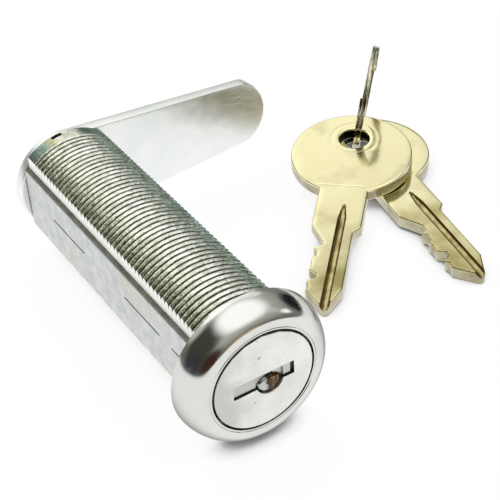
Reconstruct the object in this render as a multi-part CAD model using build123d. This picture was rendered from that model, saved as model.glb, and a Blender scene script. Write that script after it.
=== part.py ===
from build123d import *
from math import atan, cos, degrees, pi, radians, sin, sqrt
import os

# Cam lock: threaded barrel, keyed plug, straight cam, and two keys on a split ring.
# Millimetres. The barrel lies along Y with its face toward -Y, the cam points to +X, +Z is up.
# The origin is the centre of the bezel's back face, where the lock seats on its panel.

# Fits
running_gap = 0.1
press_gap = 0.02
past = 1.0

# Barrel
thread_radius = 9.5
barrel_length = 51.0
collar_length = 2.6
collar_radius = 9.4
flat_half = 6.2
pad_half = 7.05
pad_half_height = 5.1
bore_clearance = 0.05
slit_width = 0.3
slit_depth = 0.3
slit_height = 0.8
slit_spans = [(3.4, 7.0), (10.3, 20.2), (32.3, 42.5)]
notch_angle = 101
notch_width = 2.0
notch_depth = 1.2

# Head and bezel
bezel_radius = 11.25
bezel_land_radius = 9.0
bezel_height = 4.5
bezel_rim = 0.5
bezel_skin = 0.6
bezel_bulge = 1.2
outer_steps = 4
inner_steps = 1
face_radius = 7.63
face_gap = 0.15
cap_skin = 0.6
cap_skirt_skin = 0.4
cap_skirt_length = 3.2
cap_fit = 0.03
head_depth = 4.1

# Plug
core_radius = 5.6
tail_half = 3.2
tail_length = 4.05
tail_hole_radius = 2.02
tail_hole_depth = 10.0

# Keyway and key blade
slot_width = 9.2
slot_height = 2.1
lobe_x = 0.9
lobe_radius = 2.1
lobe_drop = 2.2
key_thickness = 2.0
blade_half = 2.85
keyway_gap = 0.1
keyway_lift = 0.08
blade_room = 0.5
groove_x = 0.65
groove_radius = 0.7
ward_radius = 0.6
shoulder_y = -0.6

# Key outline, measured from the centre of the bow toward the tip
bow_radius = 10.05
key_hole_radius = 2.7
key_hole_offset = 3.8
neck_half = 3.95
shoulder_at = 17.9
tip_shoulder_at = 31.7
tip_at = 35.6
tip_nose_half = 0.6
tip_nose_length = 0.3
groove_start = 12.9
cut_first = 21.9
cut_pitch = 2.4
cut_depths = [1.3, 0.7, 0.2, 1.3, 0.4]
cut_floor = 0.9
peak_depth = 0.1

# Wafers and their springs
wafer_thickness = 1.2
wafer_gap = 0.05
wafer_half_width = 2.5
wafer_end_radius = 5.5
window_far_x = 4.5
lug_x = (0.2, 1.2)
lug_top = 3.6
race_margin = 1.2
race_gap = 0.15
pocket_x = (-3.9, 2.2)
pocket_top = 3.75
groove_near_x = 6.7
groove_far_x = 6.5
spring_radius = 0.4
spring_wire = 0.18
spring_turns = 4
spring_seat = 0.05
spring_steps = 5

# Dust shutter
hinge_z = 2.0
hinge_y = -3.2
pin_radius = 0.35
pin_half = 5.3
knuckle_skin = 0.3
knuckle_room = 0.72
torsion_wire = 0.14
torsion_half = 1.0
torsion_turns = 3.75
torsion_gap = 1.6
shutter_front = -3.86
shutter_skin = 0.35
shutter_half = 4.7
shutter_bottom = -1.2
dome_height = 0.33
dome_radius = 1.5
dome_z = -0.8
tab_margin = 0.2
recess_half = 4.8
recess_floor = 0.15

# Stop washer, cam and fastening
washer_radius = 6.4
washer_proud = 0.25
washer_recess = 2.0
lug_radius = 7.3
lug_angle = -135
lug_half_angle = 9
lug_play = 0.4
lug_depth = 0.4
washer_boss_radius = 5.4
turn_angle = 90
cam_thickness = 2.0
cam_hub_radius = 8.2
cam_tip_half = 5.55
cam_tip_x = 36.3
cam_corner_radius = 2.6
cam_end_radius = 6.3
square_gap = 0.05
lock_washer_thickness = 0.8
lock_washer_radius = 3.8
lock_washer_split = 0.5
screw_radius = 2.0
screw_length = 8.0
screw_head_radius = 3.6
screw_head_height = 2.3
screw_taper = 0.8
screw_slot_width = 0.9
screw_slot_half = 2.1
screw_slot_depth = 1.1

# Keys on the floor beside the lock
floor_z = -bezel_radius
key_b_centre = (49.39, 39.36)
key_b_heading = 260.69
ring_lift_slope = 0.033
key_a_centre = (44.69, 38.02)
key_a_heading = 226.29
key_a_contact = 8.0
key_b_contact = 12.1
stack_gap = 0.02

# Split ring
ring_mean_radius = 8.53
ring_wire_height = 0.8
ring_wire_width = 0.58
ring_turns = 1.9
ring_pitch = 0.6
ring_start_angle = 150
ring_foot = (52.69, 47.09)
ring_heading = 47.85
ring_lean = 9.0
ring_rest = 0.06


def box(x0, x1, y0, y1, z0, z1):
    """Box between the given limits."""
    return Pos((x0 + x1) / 2, (y0 + y1) / 2, (z0 + z1) / 2) * Box(x1 - x0, y1 - y0, z1 - z0)


def rod(radius, y0, y1, x=0.0, z=0.0):
    """Cylinder along Y from y0 to y1."""
    return Pos(x, (y0 + y1) / 2, z) * Rot(90, 0, 0) * Cylinder(radius, y1 - y0)


def rod_x(radius, x0, x1, y, z):
    """Cylinder along X from x0 to x1."""
    return Pos((x0 + x1) / 2, y, z) * Rot(0, 90, 0) * Cylinder(radius, x1 - x0)


def across(face, y0, y1):
    """Face drawn in x and z, extended along Y from y0 to y1."""
    plane = Plane(origin=(0, y1, 0), x_dir=(1, 0, 0), z_dir=(0, -1, 0))
    return extrude(plane * face, amount=y1 - y0)


def turned(points):
    """Solid turned about Y from (radius, y) points."""
    edge = Polyline(*points, close=True)
    return revolve(make_face(edge), Axis.Y)


def coil(points, sides, half_a, half_b):
    """Wire of rectangular section along points; sides gives two unit vectors at each point."""
    loops = []
    for (px, py, pz), (a, b) in zip(points, sides):
        corners = []
        for sa, sb in ((1, 1), (-1, 1), (-1, -1), (1, -1)):
            corners.append(tuple(
                p + sa * half_a * ai + sb * half_b * bi for p, ai, bi in zip((px, py, pz), a, b)))
        loops.append(corners)
    faces = [make_face(Polyline(*loops[0], close=True)), make_face(Polyline(*loops[-1], close=True))]
    for low, high in zip(loops, loops[1:]):
        for k in range(4):
            n = (k + 1) % 4
            faces.append(make_face(Polyline(low[k], low[n], high[n], close=True)))
            faces.append(make_face(Polyline(low[k], high[n], high[k], close=True)))
    return Solid(Shell([f.face() for f in faces]))


def bezel_points(inset, count):
    """(radius, y) points of the bezel's dome, moved inward by inset, in count steps."""
    points = []
    for i in range(count + 1):
        t = pi / 2 * i / count
        spread = bezel_radius - bezel_land_radius
        radius = bezel_land_radius + spread * max(cos(t), 0) ** bezel_bulge - inset * cos(t)
        y = -bezel_rim - (bezel_height - bezel_rim) * sin(t) ** bezel_bulge + inset * sin(t)
        points.append((radius, y))
    return points


# ---------------------------------------------------------------- housing

bezel_hole_radius = face_radius + face_gap
counterbore_radius = face_radius + face_gap / 2
counterbore_floor = -(bezel_height - head_depth) + bore_clearance
core_bore = core_radius + bore_clearance
core_end = barrel_length - washer_recess
tail_end = core_end + tail_length
washer_end = barrel_length + washer_proud
lug_end = barrel_length - lug_depth

thread_blank = rod(thread_radius, 0, barrel_length - collar_length)
thread_blank += rod(collar_radius, barrel_length - collar_length, barrel_length)
flats = box(-flat_half, flat_half, 0, barrel_length, -thread_radius, thread_radius)
pads = box(-pad_half, pad_half, 0, barrel_length, -pad_half_height, pad_half_height)
barrel = thread_blank & (flats + pads)

head_outline = bezel_points(bezel_skin + press_gap, inner_steps)
head_front = -(bezel_height - bezel_skin) + press_gap
head = turned([(0, 0), (head_outline[0][0], 0)] + head_outline[:-1]
              + [(head_outline[-1][0], head_front), (0, head_front)])
housing = barrel + head
housing -= rod(counterbore_radius, -bezel_height - past, counterbore_floor)
housing -= rod(core_bore, -bezel_height, barrel_length + past)

washer_seat = core_end - bore_clearance
housing -= rod(washer_radius + running_gap, washer_seat, barrel_length + past)


def sector(radius, start, end, y0, y1):
    """Solid sector about Y, from start to end degrees measured from +X toward +Z."""
    steps = 12
    corners = [(0, 0)]
    for i in range(steps + 1):
        t = radians(start + (end - start) * i / steps)
        reach = radius / cos(radians(end - start) / steps / 2)
        corners.append((reach * cos(t), reach * sin(t)))
    return across(make_face(Polyline(*corners, close=True)), y0, y1) & rod(radius, y0, y1)


housing -= sector(lug_radius + running_gap, lug_angle - lug_half_angle - lug_play,
                  lug_angle + turn_angle + lug_half_angle + lug_play, washer_seat, barrel_length + past)

wafer_stations = [shoulder_y + cut_first - shoulder_at + cut_pitch * k for k in range(len(cut_depths))]
race_start = wafer_stations[0] - race_margin
race_end = wafer_stations[-1] + race_margin
race_half = wafer_half_width + race_gap
for quarter in (0, 90):
    race = box(-groove_near_x, groove_far_x, race_start, race_end, -race_half, race_half)
    housing -= Rot(0, -quarter, 0) * race

for y0, y1 in slit_spans:
    for side in (-1, 1):
        x0, x1 = sorted((side * (pad_half - slit_depth), side * (pad_half + past)))
        housing -= box(x0, x1, y0, y1, slit_height - slit_width / 2, slit_height + slit_width / 2)

notch = box(washer_radius - past, thread_radius + past, barrel_length - notch_depth, barrel_length + past,
            -notch_width / 2, notch_width / 2)
housing -= Rot(0, -notch_angle, 0) * notch

# ---------------------------------------------------------------- bezel ring

dome = bezel_points(0, outer_steps)
inner = bezel_points(bezel_skin, inner_steps)
bezel_ring = turned(
    [(bezel_radius, 0)] + dome
    + [(bezel_hole_radius, -bezel_height), (bezel_hole_radius, -bezel_height + bezel_skin)]
    + inner[::-1] + [(inner[0][0], 0)])

# ---------------------------------------------------------------- plug

head_face = -bezel_height + cap_skin
head_back = -bezel_height + head_depth
tab_radius = dome_radius + tab_margin
tongue_length = hinge_z - dome_z + tab_radius
plug_head_radius = face_radius - cap_skirt_skin - cap_fit
plug = rod(plug_head_radius, head_face, head_back) + rod(core_radius, head_back, core_end)
plug += box(-tail_half, tail_half, core_end, tail_end, -tail_half, tail_half)

blade_end = shoulder_y + tip_at - shoulder_at
keyway_half_height = key_thickness / 2 + keyway_lift
keyway_end = blade_end + blade_room
keyway = box(-blade_half - keyway_gap, blade_half + keyway_gap, head_face, keyway_end,
             -keyway_half_height, keyway_half_height)
ward = rod(ward_radius, shoulder_y, keyway_end, x=groove_x, z=-keyway_half_height)
ward = ward & box(-blade_half, blade_half, shoulder_y, keyway_end, -keyway_half_height, 0)
plug -= keyway - ward

slot_shelf = box(-recess_half, recess_half, head_face, shoulder_y, shutter_bottom - running_gap,
                 hinge_z + knuckle_room)
flap_reach = recess_floor - hinge_y
tongue_reach = tongue_length + 2 * running_gap
plug -= slot_shelf
for reach, low_x, high_x, bottom in (
        (flap_reach, -recess_half, recess_half, 0),
        (tongue_reach, lobe_x - lobe_radius, lobe_x + lobe_radius, hinge_z - tongue_reach)):
    sweep_room = rod_x(reach, low_x, high_x, hinge_y, hinge_z)
    plug -= sweep_room & box(low_x, high_x, head_face, hinge_y + reach, bottom, hinge_z)
plug -= rod_x(pin_radius + press_gap, -pin_half, pin_half, hinge_y, hinge_z)

for y in wafer_stations:
    half = wafer_thickness / 2 + wafer_gap
    plug -= box(-core_radius - past, core_radius + past, y - half, y + half,
                -wafer_half_width - wafer_gap, wafer_half_width + wafer_gap)
    plug -= box(pocket_x[0], pocket_x[1], y - half, y + half, wafer_half_width, pocket_top)
plug -= rod(tail_hole_radius, tail_end - tail_hole_depth, tail_end + past)

# ---------------------------------------------------------------- face cap


def slot_face():
    """Keyway slot with its round lobe below."""
    below = Pos(lobe_x, -lobe_drop / 2) * Rectangle(2 * lobe_radius, lobe_drop)
    lobe = Pos(lobe_x, lobe_radius - lobe_drop) * Circle(lobe_radius)
    return Rectangle(slot_width, slot_height) + (lobe & below)


cap_blank = turned([
    (0, -bezel_height), (face_radius, -bezel_height), (face_radius, -bezel_height + cap_skirt_length),
    (face_radius - cap_skirt_skin, -bezel_height + cap_skirt_length),
    (face_radius - cap_skirt_skin, head_face), (0, head_face)])
face_cap = cap_blank - across(slot_face(), -bezel_height - past, head_face + past)

# ---------------------------------------------------------------- dust shutter

shutter_back = shutter_front + shutter_skin
flap = box(-shutter_half, shutter_half, shutter_front, shutter_back, shutter_bottom, hinge_z)
tab = rod(tab_radius, shutter_front, shutter_back, x=lobe_x, z=dome_z)
knuckle = rod_x(pin_radius + knuckle_skin, -shutter_half, shutter_half, hinge_y, hinge_z)
sphere_radius = (dome_radius ** 2 + dome_height ** 2) / (2 * dome_height)
bulge = Pos(lobe_x, shutter_front - dome_height + sphere_radius, dome_z) * Sphere(sphere_radius)
bulge = bulge & rod(sphere_radius, shutter_front - dome_height, shutter_front, x=lobe_x, z=dome_z)
window = box(-torsion_gap, torsion_gap, shutter_front - past, hinge_y + past, hinge_z - knuckle_room,
             hinge_z + past)
dust_shutter = (flap + knuckle - window) + tab + bulge
dust_shutter -= rod_x(pin_radius + press_gap, -pin_half, pin_half, hinge_y, hinge_z)

shutter_pin = rod_x(pin_radius, -pin_half + running_gap, pin_half - running_gap, hinge_y, hinge_z)

# ---------------------------------------------------------------- wafers and springs


def helix_x(start, end, y, z, radius, turns, steps, wire):
    """Square-wire coil about an axis along X at y and z."""
    points, sides = [], []
    count = int(turns * steps)
    for i in range(count + 1):
        t = 2 * pi * i / steps
        out = (0, cos(t), sin(t))
        points.append((start + (end - start) * i / count, y + radius * out[1], z + radius * out[2]))
        sides.append((out, (1, 0, 0)))
    return coil(points, sides, wire / 2, wire / 2)


def wafer(depth, y):
    """Wafer whose window meets a key cut of the given depth when its ends are flush."""
    y0, y1 = y - wafer_thickness / 2, y + wafer_thickness / 2
    disc = rod(wafer_end_radius, y0, y1)
    plate = disc & box(-wafer_end_radius, wafer_end_radius, y0, y1, -wafer_half_width, wafer_half_width)
    plate += box(lug_x[0], lug_x[1], y0, y1, keyway_half_height + running_gap, lug_top)
    edge = -blade_half + depth
    return plate - box(edge, window_far_x, y0 - past, y1 + past, -keyway_half_height, keyway_half_height)


def wafer_spring(y):
    """Coil between the lug and the end of the pocket, along X."""
    start = pocket_x[0] + spring_seat + spring_wire / 2
    end = lug_x[0] - press_gap - spring_wire / 2
    return helix_x(start, end, y, (wafer_half_width + pocket_top) / 2, spring_radius, spring_turns,
                   spring_steps, spring_wire)


torsion_radius = pin_radius + press_gap + torsion_wire
shutter_spring = helix_x(-torsion_half, torsion_half, hinge_y, hinge_z, torsion_radius, torsion_turns,
                         spring_steps, torsion_wire)

# ---------------------------------------------------------------- rear stack

washer_start = core_end
stop_washer = rod(washer_radius, washer_start, lug_end)
stop_washer += sector(lug_radius, lug_angle - lug_half_angle, lug_angle + lug_half_angle,
                      washer_start, lug_end)
stop_washer += rod(washer_boss_radius, washer_start, washer_end)
square_half = tail_half + square_gap
stop_washer -= box(-square_half, square_half, washer_start - past, washer_end + past,
                   -square_half, square_half)

hub = Circle(cam_hub_radius)
tangent = degrees(atan((cam_hub_radius - cam_tip_half) / cam_tip_x))
lean = radians(90 - tangent)
arm_start = (cam_hub_radius * cos(lean), cam_hub_radius * sin(lean))
corner_x = cam_tip_x - (cam_end_radius - sqrt(cam_end_radius ** 2 - cam_tip_half ** 2))
arm_end = (corner_x, cam_tip_half)
arm_edges = [
    Line((arm_start[0], -arm_start[1]), (arm_end[0], -arm_end[1])),
    ThreePointArc((arm_end[0], -arm_end[1]), (cam_tip_x, 0), arm_end),
    Line(arm_end, arm_start),
    Line(arm_start, (arm_start[0], -arm_start[1])),
]
arm = make_face(arm_edges)
tip_corners = arm.vertices().filter_by(lambda v: v.X > cam_tip_x / 2)
arm = fillet(tip_corners, cam_corner_radius)
cam_face = hub + arm - Rectangle(2 * square_half, 2 * square_half)
cam_start = washer_end
cam_end = cam_start + cam_thickness
cam = across(cam_face, cam_start, cam_end)

lock_end = cam_end + lock_washer_thickness
lock_washer = rod(lock_washer_radius, cam_end, lock_end)
lock_washer -= rod(screw_radius + running_gap, cam_end - past, lock_end + past)
split = box(0, lock_washer_radius + past, cam_end - past, lock_end + past,
            -lock_washer_split / 2, lock_washer_split / 2)
lock_washer -= Rot(0, -90, 0) * split

screw_end = lock_end + screw_head_height
cam_screw = turned([
    (0, lock_end - screw_length), (screw_radius, lock_end - screw_length), (screw_radius, lock_end),
    (screw_head_radius, lock_end), (screw_head_radius - screw_taper, screw_end), (0, screw_end)])
for quarter in (0, 90):
    cross = box(-screw_slot_half, screw_slot_half, screw_end - screw_slot_depth, screw_end + past,
                -screw_slot_width / 2, screw_slot_width / 2)
    cam_screw -= Rot(0, quarter, 0) * cross

# ---------------------------------------------------------------- keys


def blade_edge():
    """Points of the cut edge, as (along, across); the first cut slopes down from the neck's corner."""
    edge = -blade_half
    points = []
    for k, depth in enumerate(cut_depths):
        centre = cut_first + cut_pitch * k
        rise = depth - peak_depth
        half = cut_floor / 2
        slope = min(rise, cut_pitch / 2 - half - press_gap)
        points += [(centre - half - slope, edge + peak_depth), (centre - half, edge + depth),
                   (centre + half, edge + depth), (centre + half + slope, edge + peak_depth)]
    return points[1:]


def key():
    """Key lying flat, bow centred on the origin, tip toward +X, groove on top, cuts toward -Y."""
    neck_start = sqrt(bow_radius ** 2 - neck_half ** 2)
    low = [(0, -neck_half), (neck_start, -neck_half), (shoulder_at, -neck_half)]
    nose = tip_at - tip_nose_length
    tip = [(nose, groove_x - tip_nose_half), (tip_at, groove_x), (nose, groove_x + tip_nose_half)]
    blade_start = shoulder_at + neck_half - blade_half
    high = [(tip_shoulder_at, blade_half), (blade_start, blade_half), (shoulder_at, neck_half),
            (0, neck_half)]
    outline = make_face(Polyline(*(low + blade_edge() + tip + high), close=True))
    face = Circle(bow_radius) + outline - Pos(-key_hole_offset, 0) * Circle(key_hole_radius)
    body = extrude(face, amount=key_thickness)
    groove_end = tip_at + past
    return body - rod_x(groove_radius, groove_start, groove_end, groove_x, key_thickness)


def place_key(centre, heading, slope):
    """Key on the floor: its tip touches the floor and its bow is raised by the slope."""
    angle = degrees(atan(slope))
    raised = slope * tip_at
    return Pos(centre[0], centre[1], floor_z + raised) * Rot(0, 0, heading) * Rot(0, angle, 0) * key()


key_b = place_key(key_b_centre, key_b_heading, ring_lift_slope)
contact_height = key_thickness + ring_lift_slope * (tip_at - key_b_contact) + stack_gap
key_a_slope = contact_height / (tip_at - key_a_contact)
key_a = place_key(key_a_centre, key_a_heading, key_a_slope)

# ---------------------------------------------------------------- split ring

ring_steps = 26
ring_points, ring_sides = [], []
side = (sin(radians(ring_heading)), -cos(radians(ring_heading)), 0)
flat = (cos(radians(ring_heading)), sin(radians(ring_heading)), 0)
tilt = radians(ring_lean)
rise = tuple(cos(tilt) * k + sin(tilt) * s for k, s in zip((0, 0, 1), side))
axis = tuple(cos(tilt) * s - sin(tilt) * k for k, s in zip((0, 0, 1), side))
centre = tuple(f + ring_mean_radius * r for f, r in zip(
    (ring_foot[0], ring_foot[1], floor_z + ring_wire_height / 2 + ring_rest), rise))
total = int(ring_turns * ring_steps)
for i in range(total + 1):
    t = radians(ring_start_angle) + 2 * pi * i / ring_steps
    out = tuple(cos(t) * f + sin(t) * r for f, r in zip(flat, rise))
    offset = ring_pitch * ring_turns * (i / total - 0.5)
    ring_points.append(tuple(
        c + ring_mean_radius * o + offset * a for c, o, a in zip(centre, out, axis)))
    ring_sides.append((out, axis))
split_ring = coil(ring_points, ring_sides, ring_wire_height / 2, ring_wire_width / 2)

# ---------------------------------------------------------------- export

nodes = {
    "housing": housing, "bezel_ring": bezel_ring, "plug": plug, "face_cap": face_cap,
    "dust_shutter": dust_shutter, "shutter_pin": shutter_pin, "shutter_spring": shutter_spring,
    "stop_washer": stop_washer, "cam": cam, "lock_washer": lock_washer, "cam_screw": cam_screw,
    "split_ring": split_ring, "key_a": key_a, "key_b": key_b,
}
for number, (depth, y) in enumerate(zip(cut_depths, wafer_stations), 1):
    nodes[f"wafer_{number}"] = wafer(depth, y)
    nodes[f"wafer_spring_{number}"] = wafer_spring(y)

os.makedirs("parts", exist_ok=True)
for name, shape in nodes.items():
    export_step(shape, f"parts/{name}.step")
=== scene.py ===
from math import acos, atan, cos, degrees, pi, radians, sin, sqrt

import bmesh
import bpy
import numpy as np
from mathutils import Matrix, Vector


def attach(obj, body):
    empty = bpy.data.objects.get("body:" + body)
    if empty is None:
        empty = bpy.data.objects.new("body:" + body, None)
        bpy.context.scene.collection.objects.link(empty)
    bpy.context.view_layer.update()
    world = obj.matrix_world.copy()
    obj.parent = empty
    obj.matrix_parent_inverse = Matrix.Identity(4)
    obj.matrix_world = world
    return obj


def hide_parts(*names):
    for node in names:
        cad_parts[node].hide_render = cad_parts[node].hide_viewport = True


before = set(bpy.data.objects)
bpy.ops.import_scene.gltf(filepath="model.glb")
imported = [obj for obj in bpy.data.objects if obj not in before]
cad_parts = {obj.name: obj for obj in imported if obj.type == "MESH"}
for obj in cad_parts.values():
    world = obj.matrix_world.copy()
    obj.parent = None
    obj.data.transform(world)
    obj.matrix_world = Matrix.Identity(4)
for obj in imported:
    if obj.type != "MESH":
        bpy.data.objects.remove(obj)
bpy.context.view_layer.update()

# Sizes are in millimetres and are turned into metres where a mesh is made.
MM = 0.001

# Points nearer to each other than this are welded into one.
weld_reach = 0.002

# Keeps a divisor away from zero and a limit clear of rounding.
tiny = 1e-6

# ---------------------------------------------------------------- sizes

thread_radius = 9.5
thread_pitch = 1.0
thread_depth = 0.64
crest_share = 0.68
crest_sag = 0.22
barrel_length = 51.0
collar_length = 2.6
collar_radius = 9.4
flat_half = 6.2
pad_half = 7.05
pad_half_height = 5.1
slit_half = 0.13
slit_depth = 0.3
slit_run = 0.1
slit_height = 0.8
slit_spans = ((3.4, 7.0), (10.3, 20.2), (32.3, 42.5))
notch_angle = 98.3
notch_width = 1.7
notch_depth = 1.0
notch_sink = 0.16
notch_edge = 0.1
notch_step = 0.02
collar_bevel = 0.15
pad_bevel = 0.12
round_columns = 66
crest_rows = 7

# Columns of the section from +X: heights on the pad from its middle to its edge, which of them lie
# in the slit, and the flat's share from the pad to its corner.
pad_heights = (0, slit_height - slit_half - 0.01, slit_height - slit_half, slit_height + slit_half,
               slit_height + slit_half + 0.01, 2.4, 4.0, pad_half_height - pad_bevel, pad_half_height)
pad_in_slit = (0, 0, 1, 1, 0, 0, 0, 0, 0)
flat_shares = (0, 0.34, 0.67)
side_columns = len(pad_heights) + len(flat_shares)

bezel_radius = 11.25
bezel_land_radius = 9.0
bezel_height = 4.5
bezel_rim = 0.5
bezel_skin = 0.6
bezel_bulge = 1.2
bezel_foot = 0.12
bezel_lip = 0.10
bezel_groove = ((8.30, 0), (8.17, 0.02), (8.11, 0.09), (8.05, 0.03), (7.99, 0))
bezel_columns = 241
# The hole's wall is shaded within the first of its radius and from the second behind the front.
bezel_shade = (0.03, 0.05)
face_radius = 7.63
face_gap = 0.15
head_depth = 4.1
cap_skin = 0.6
cap_skirt = 3.2
cap_skirt_skin = 0.4
# Steps out from the slot and in from the rim, each with its fall below the face.
slot_lip = ((0, 0.10), (0.02, 0.04), (0.07, 0))
cap_bevel = ((0.19, 0), (0.15, 0.03), (0, 0.22))
cap_flat_inset = 0.25
cap_flat_shares = (0.25, 0.6)
# The slot's wall is left without the painted shade beside the dome: this far below the slot's edge,
# and from this far to the left of the lobe's middle.
bright_wall = (0.3, 1.2)

core_radius = 5.6
bore_clearance = 0.05
washer_radius = 6.4
washer_play = 0.1
washer_recess = 2.0
head_play = 0.02
race_span = (2.2, 14.2)
race_half = 2.65
race_reach = (6.5, 6.5, 6.7, 6.7)

slot_half_width = 4.6
slot_half_height = 1.05
lobe_x = 0.9
lobe_radius = 2.1
lobe_drop = 2.5

hinge_z = 2.0
hinge_y = -3.2
pin_radius = 0.35
knuckle_skin = 0.3
knuckle_room = 0.72
torsion_gap = 1.6
shutter_front = -3.86
shutter_skin = 0.35
shutter_half = 4.7
shutter_bottom = -1.2
dome_half = (1.85, 1.30)
dome_z = -1.1
dome_height = 0.56
plate_lift = 0.36
plate_gap = 0.16
right_gap = 0.42
left_gap = 0.03
plate_top_gap = 0.08
knuckle_edge = 0.04
pin_play = 0.02
plate_wall = 0.06
dome_fullness = 0.9
dome_margin = 0.2
tab_drop = 0.10

cam_start = 51.25
cam_thickness = 2.0
cam_hub_radius = 8.2
cam_tip_half = 5.55
cam_tip_x = 36.3
cam_corner_radius = 2.6
cam_end_radius = 6.3
cam_front_round = 0.22
cam_back_round = 0.12
cam_hole_bevel = 0.05
cam_inset = 0.3
cam_shares = (0.3, 0.65, 0.95)
tail_half = 3.25
lock_washer_end = 54.05
screw_head_radius = 3.6
screw_head_height = 2.3
screw_edge = 0.5
screw_crown = 0.9
cross_half = 0.42
cross_taper = 0.04
cross_wall = 0.08
cross_reach = 2.0
cross_depth = 1.3
cross_rise = 0.35
cross_end = 0.3
lock_washer_radii = (2.2, 3.7, 3.8)
lock_washer_turn = (96, 444)
lock_washer_rise = 0.14
lock_washer_play = 0.16
lock_washer_bevel = 0.1

key_thickness = 2.0
bow_radius = 10.05
key_hole_radius = 2.5
key_hole_offset = 3.8
neck_half = 3.95
blade_half = 2.85
shoulder_at = 17.9
tip_shoulder_at = 31.7
tip_at = 35.6
groove_start = 12.9
groove_run = 3.4
groove_v = 0.65
groove_radius = 0.7
groove_floor_half = 0.48
groove_depth = 0.62
groove_hollow = 0.6
groove_shade = 0.12
groove_point = 0.7
# A face is in the groove from the first depth on, and on its floor from the second, as a share.
least_cut = 0.02
least_floor = 0.95
line_at = 8.3
line_half = 0.11
line_depth = 0.06
line_reach = (-5.0, 3.4)
line_run = 0.3
row_room = 0.02
lip_radius = 3.9
cut_first = 21.9
cut_pitch = 2.4
cut_depths = (1.3, 0.7, 0.2, 1.3, 0.4)
cut_floor = 0.9
peak_depth = 0.1
cut_wall_room = 0.02
# Eased corners of the outline as steps along and across: the shoulders, where a cut starts and
# where its floor starts, and the tip's nose by its distance from the tip and its half width.
low_shoulder = ((-0.12, 0), (0.05, 0.08))
high_shoulder = ((-0.12, 0), (0.1, -0.14))
high_blade = ((-0.1, 0.14), (0.15, 0))
tip_shoulder = ((-0.15, 0), (0.1, -0.14))
cut_start = ((-0.08, -0.03), (0.05, 0.05))
cut_floor_start = ((-0.04, -0.05), (0.06, 0))
tip_nose = ((0.3, 0.6), (0.08, 0.35), (0, 0.05))
station_step = 0.3
edge_round = 0.3
under_round = 0.12
lip_height = 0.02
lip_half = 0.18
edge_insets = np.array([0, 0.03, 0.09, 0.18, 0.30])
split_u = 2.0

floor_z = -bezel_radius
key_b_centre = (49.39, 39.36)
key_b_heading = 260.69
key_b_slope = 0.033
key_a_centre = (44.69, 38.02)
key_a_heading = 226.29
key_a_contact = 8.0
key_b_contact = 12.1
stack_gap = 0.09

ring_mean_radius = 8.53
ring_wire_height = 0.8
ring_wire_width = 0.58
ring_turns = 1.9
ring_pitch = 0.6
ring_start_angle = 150
ring_foot = (52.69, 47.09)
ring_heading = 47.85
ring_lean = 9.0
ring_rest = 0.06
ring_wire_round = 0.13
ring_stations = 260

# ---------------------------------------------------------------- camera

# The camera stands off the target by a distance along a direction given as azimuth and elevation.
camera_target = (10.55, 15.0, 4.07)
camera_distance = 185.4
camera_azimuth = -30.3
camera_elevation = 37.8
camera_roll = -3.8
picture_width = 500
focal_pixels = 1330.84
sensor_width = 36.0
near_limit = 0.01
far_limit = 20


def place_camera():
    """Camera looking at the target from the given direction, rolled about its own axis."""
    az, el, roll = radians(camera_azimuth), radians(camera_elevation), radians(camera_roll)
    back = Vector((sin(az) * cos(el), -cos(az) * cos(el), sin(el)))
    right = (-back).cross(Vector((0, 0, 1))).normalized()
    up = back.cross(right)
    right, up = right * cos(roll) + up * sin(roll), up * cos(roll) - right * sin(roll)
    data = bpy.data.cameras.new("view")
    data.sensor_width = sensor_width
    data.lens = focal_pixels * sensor_width / picture_width
    data.clip_start = near_limit
    data.clip_end = far_limit
    camera = bpy.data.objects.new("view", data)
    bpy.context.collection.objects.link(camera)
    place = (Vector(camera_target) + back * camera_distance) * MM
    axes = Matrix((right, up, back)).transposed()
    camera.matrix_world = Matrix.Translation(place) @ axes.to_4x4()
    bpy.context.scene.camera = camera


# ---------------------------------------------------------------- mesh making


def grid_faces(rows, columns, close=False):
    """Four-cornered faces of a rows by columns grid; close joins the last row to the first."""
    r = np.arange(rows if close else rows - 1)[:, None]
    c = np.arange(columns - 1)[None, :]
    below, above = r * columns, ((r + 1) % rows) * columns
    quads = np.stack([below + c, below + c + 1, above + c + 1, above + c], axis=-1)
    return quads.reshape(-1, 4)


def stacked(x, y, z):
    """Points from x, y and z, each an array or a number, spread to one shape."""
    return np.stack(np.broadcast_arrays(x, y, z), axis=-1)


def make_piece(name, points, faces, materials, face_materials=None, sharp=30):
    """Mesh object from points in millimetres; equal points are welded and faces turned outward."""
    mesh = bpy.data.meshes.new(name)
    places = np.asarray(points, float).reshape(-1, 3) * MM
    mesh.from_pydata(places.tolist(), [], np.asarray(faces).tolist())
    for material in materials:
        mesh.materials.append(material)
    if face_materials is not None:
        mesh.polygons.foreach_set("material_index", np.asarray(face_materials, np.int32))
    work = bmesh.new()
    work.from_mesh(mesh)
    bmesh.ops.remove_doubles(work, verts=work.verts, dist=weld_reach * MM)
    bmesh.ops.dissolve_degenerate(work, edges=work.edges, dist=weld_reach * MM / 4)
    bmesh.ops.recalc_face_normals(work, faces=work.faces)
    work.to_mesh(mesh)
    work.free()
    mesh.shade_smooth()
    mesh.set_sharp_from_angle(angle=radians(sharp))
    piece = bpy.data.objects.new(name, mesh)
    bpy.context.collection.objects.link(piece)
    return piece


def dress(piece, body, slot, *nodes):
    """The piece rides on a body and stands for the given nodes; slot is not used."""
    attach(piece, body)
    if nodes:
        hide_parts(*nodes)


def turned_points(profile, columns):
    """Points of a surface of revolution about Y: radius and y of each profile point at each angle."""
    profile = np.asarray(profile, float)
    angle = np.linspace(0, 2 * pi, columns)
    radius, y = profile[:, 0][:, None], profile[:, 1][:, None]
    return stacked(radius * np.cos(angle), y, radius * np.sin(angle))


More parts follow.
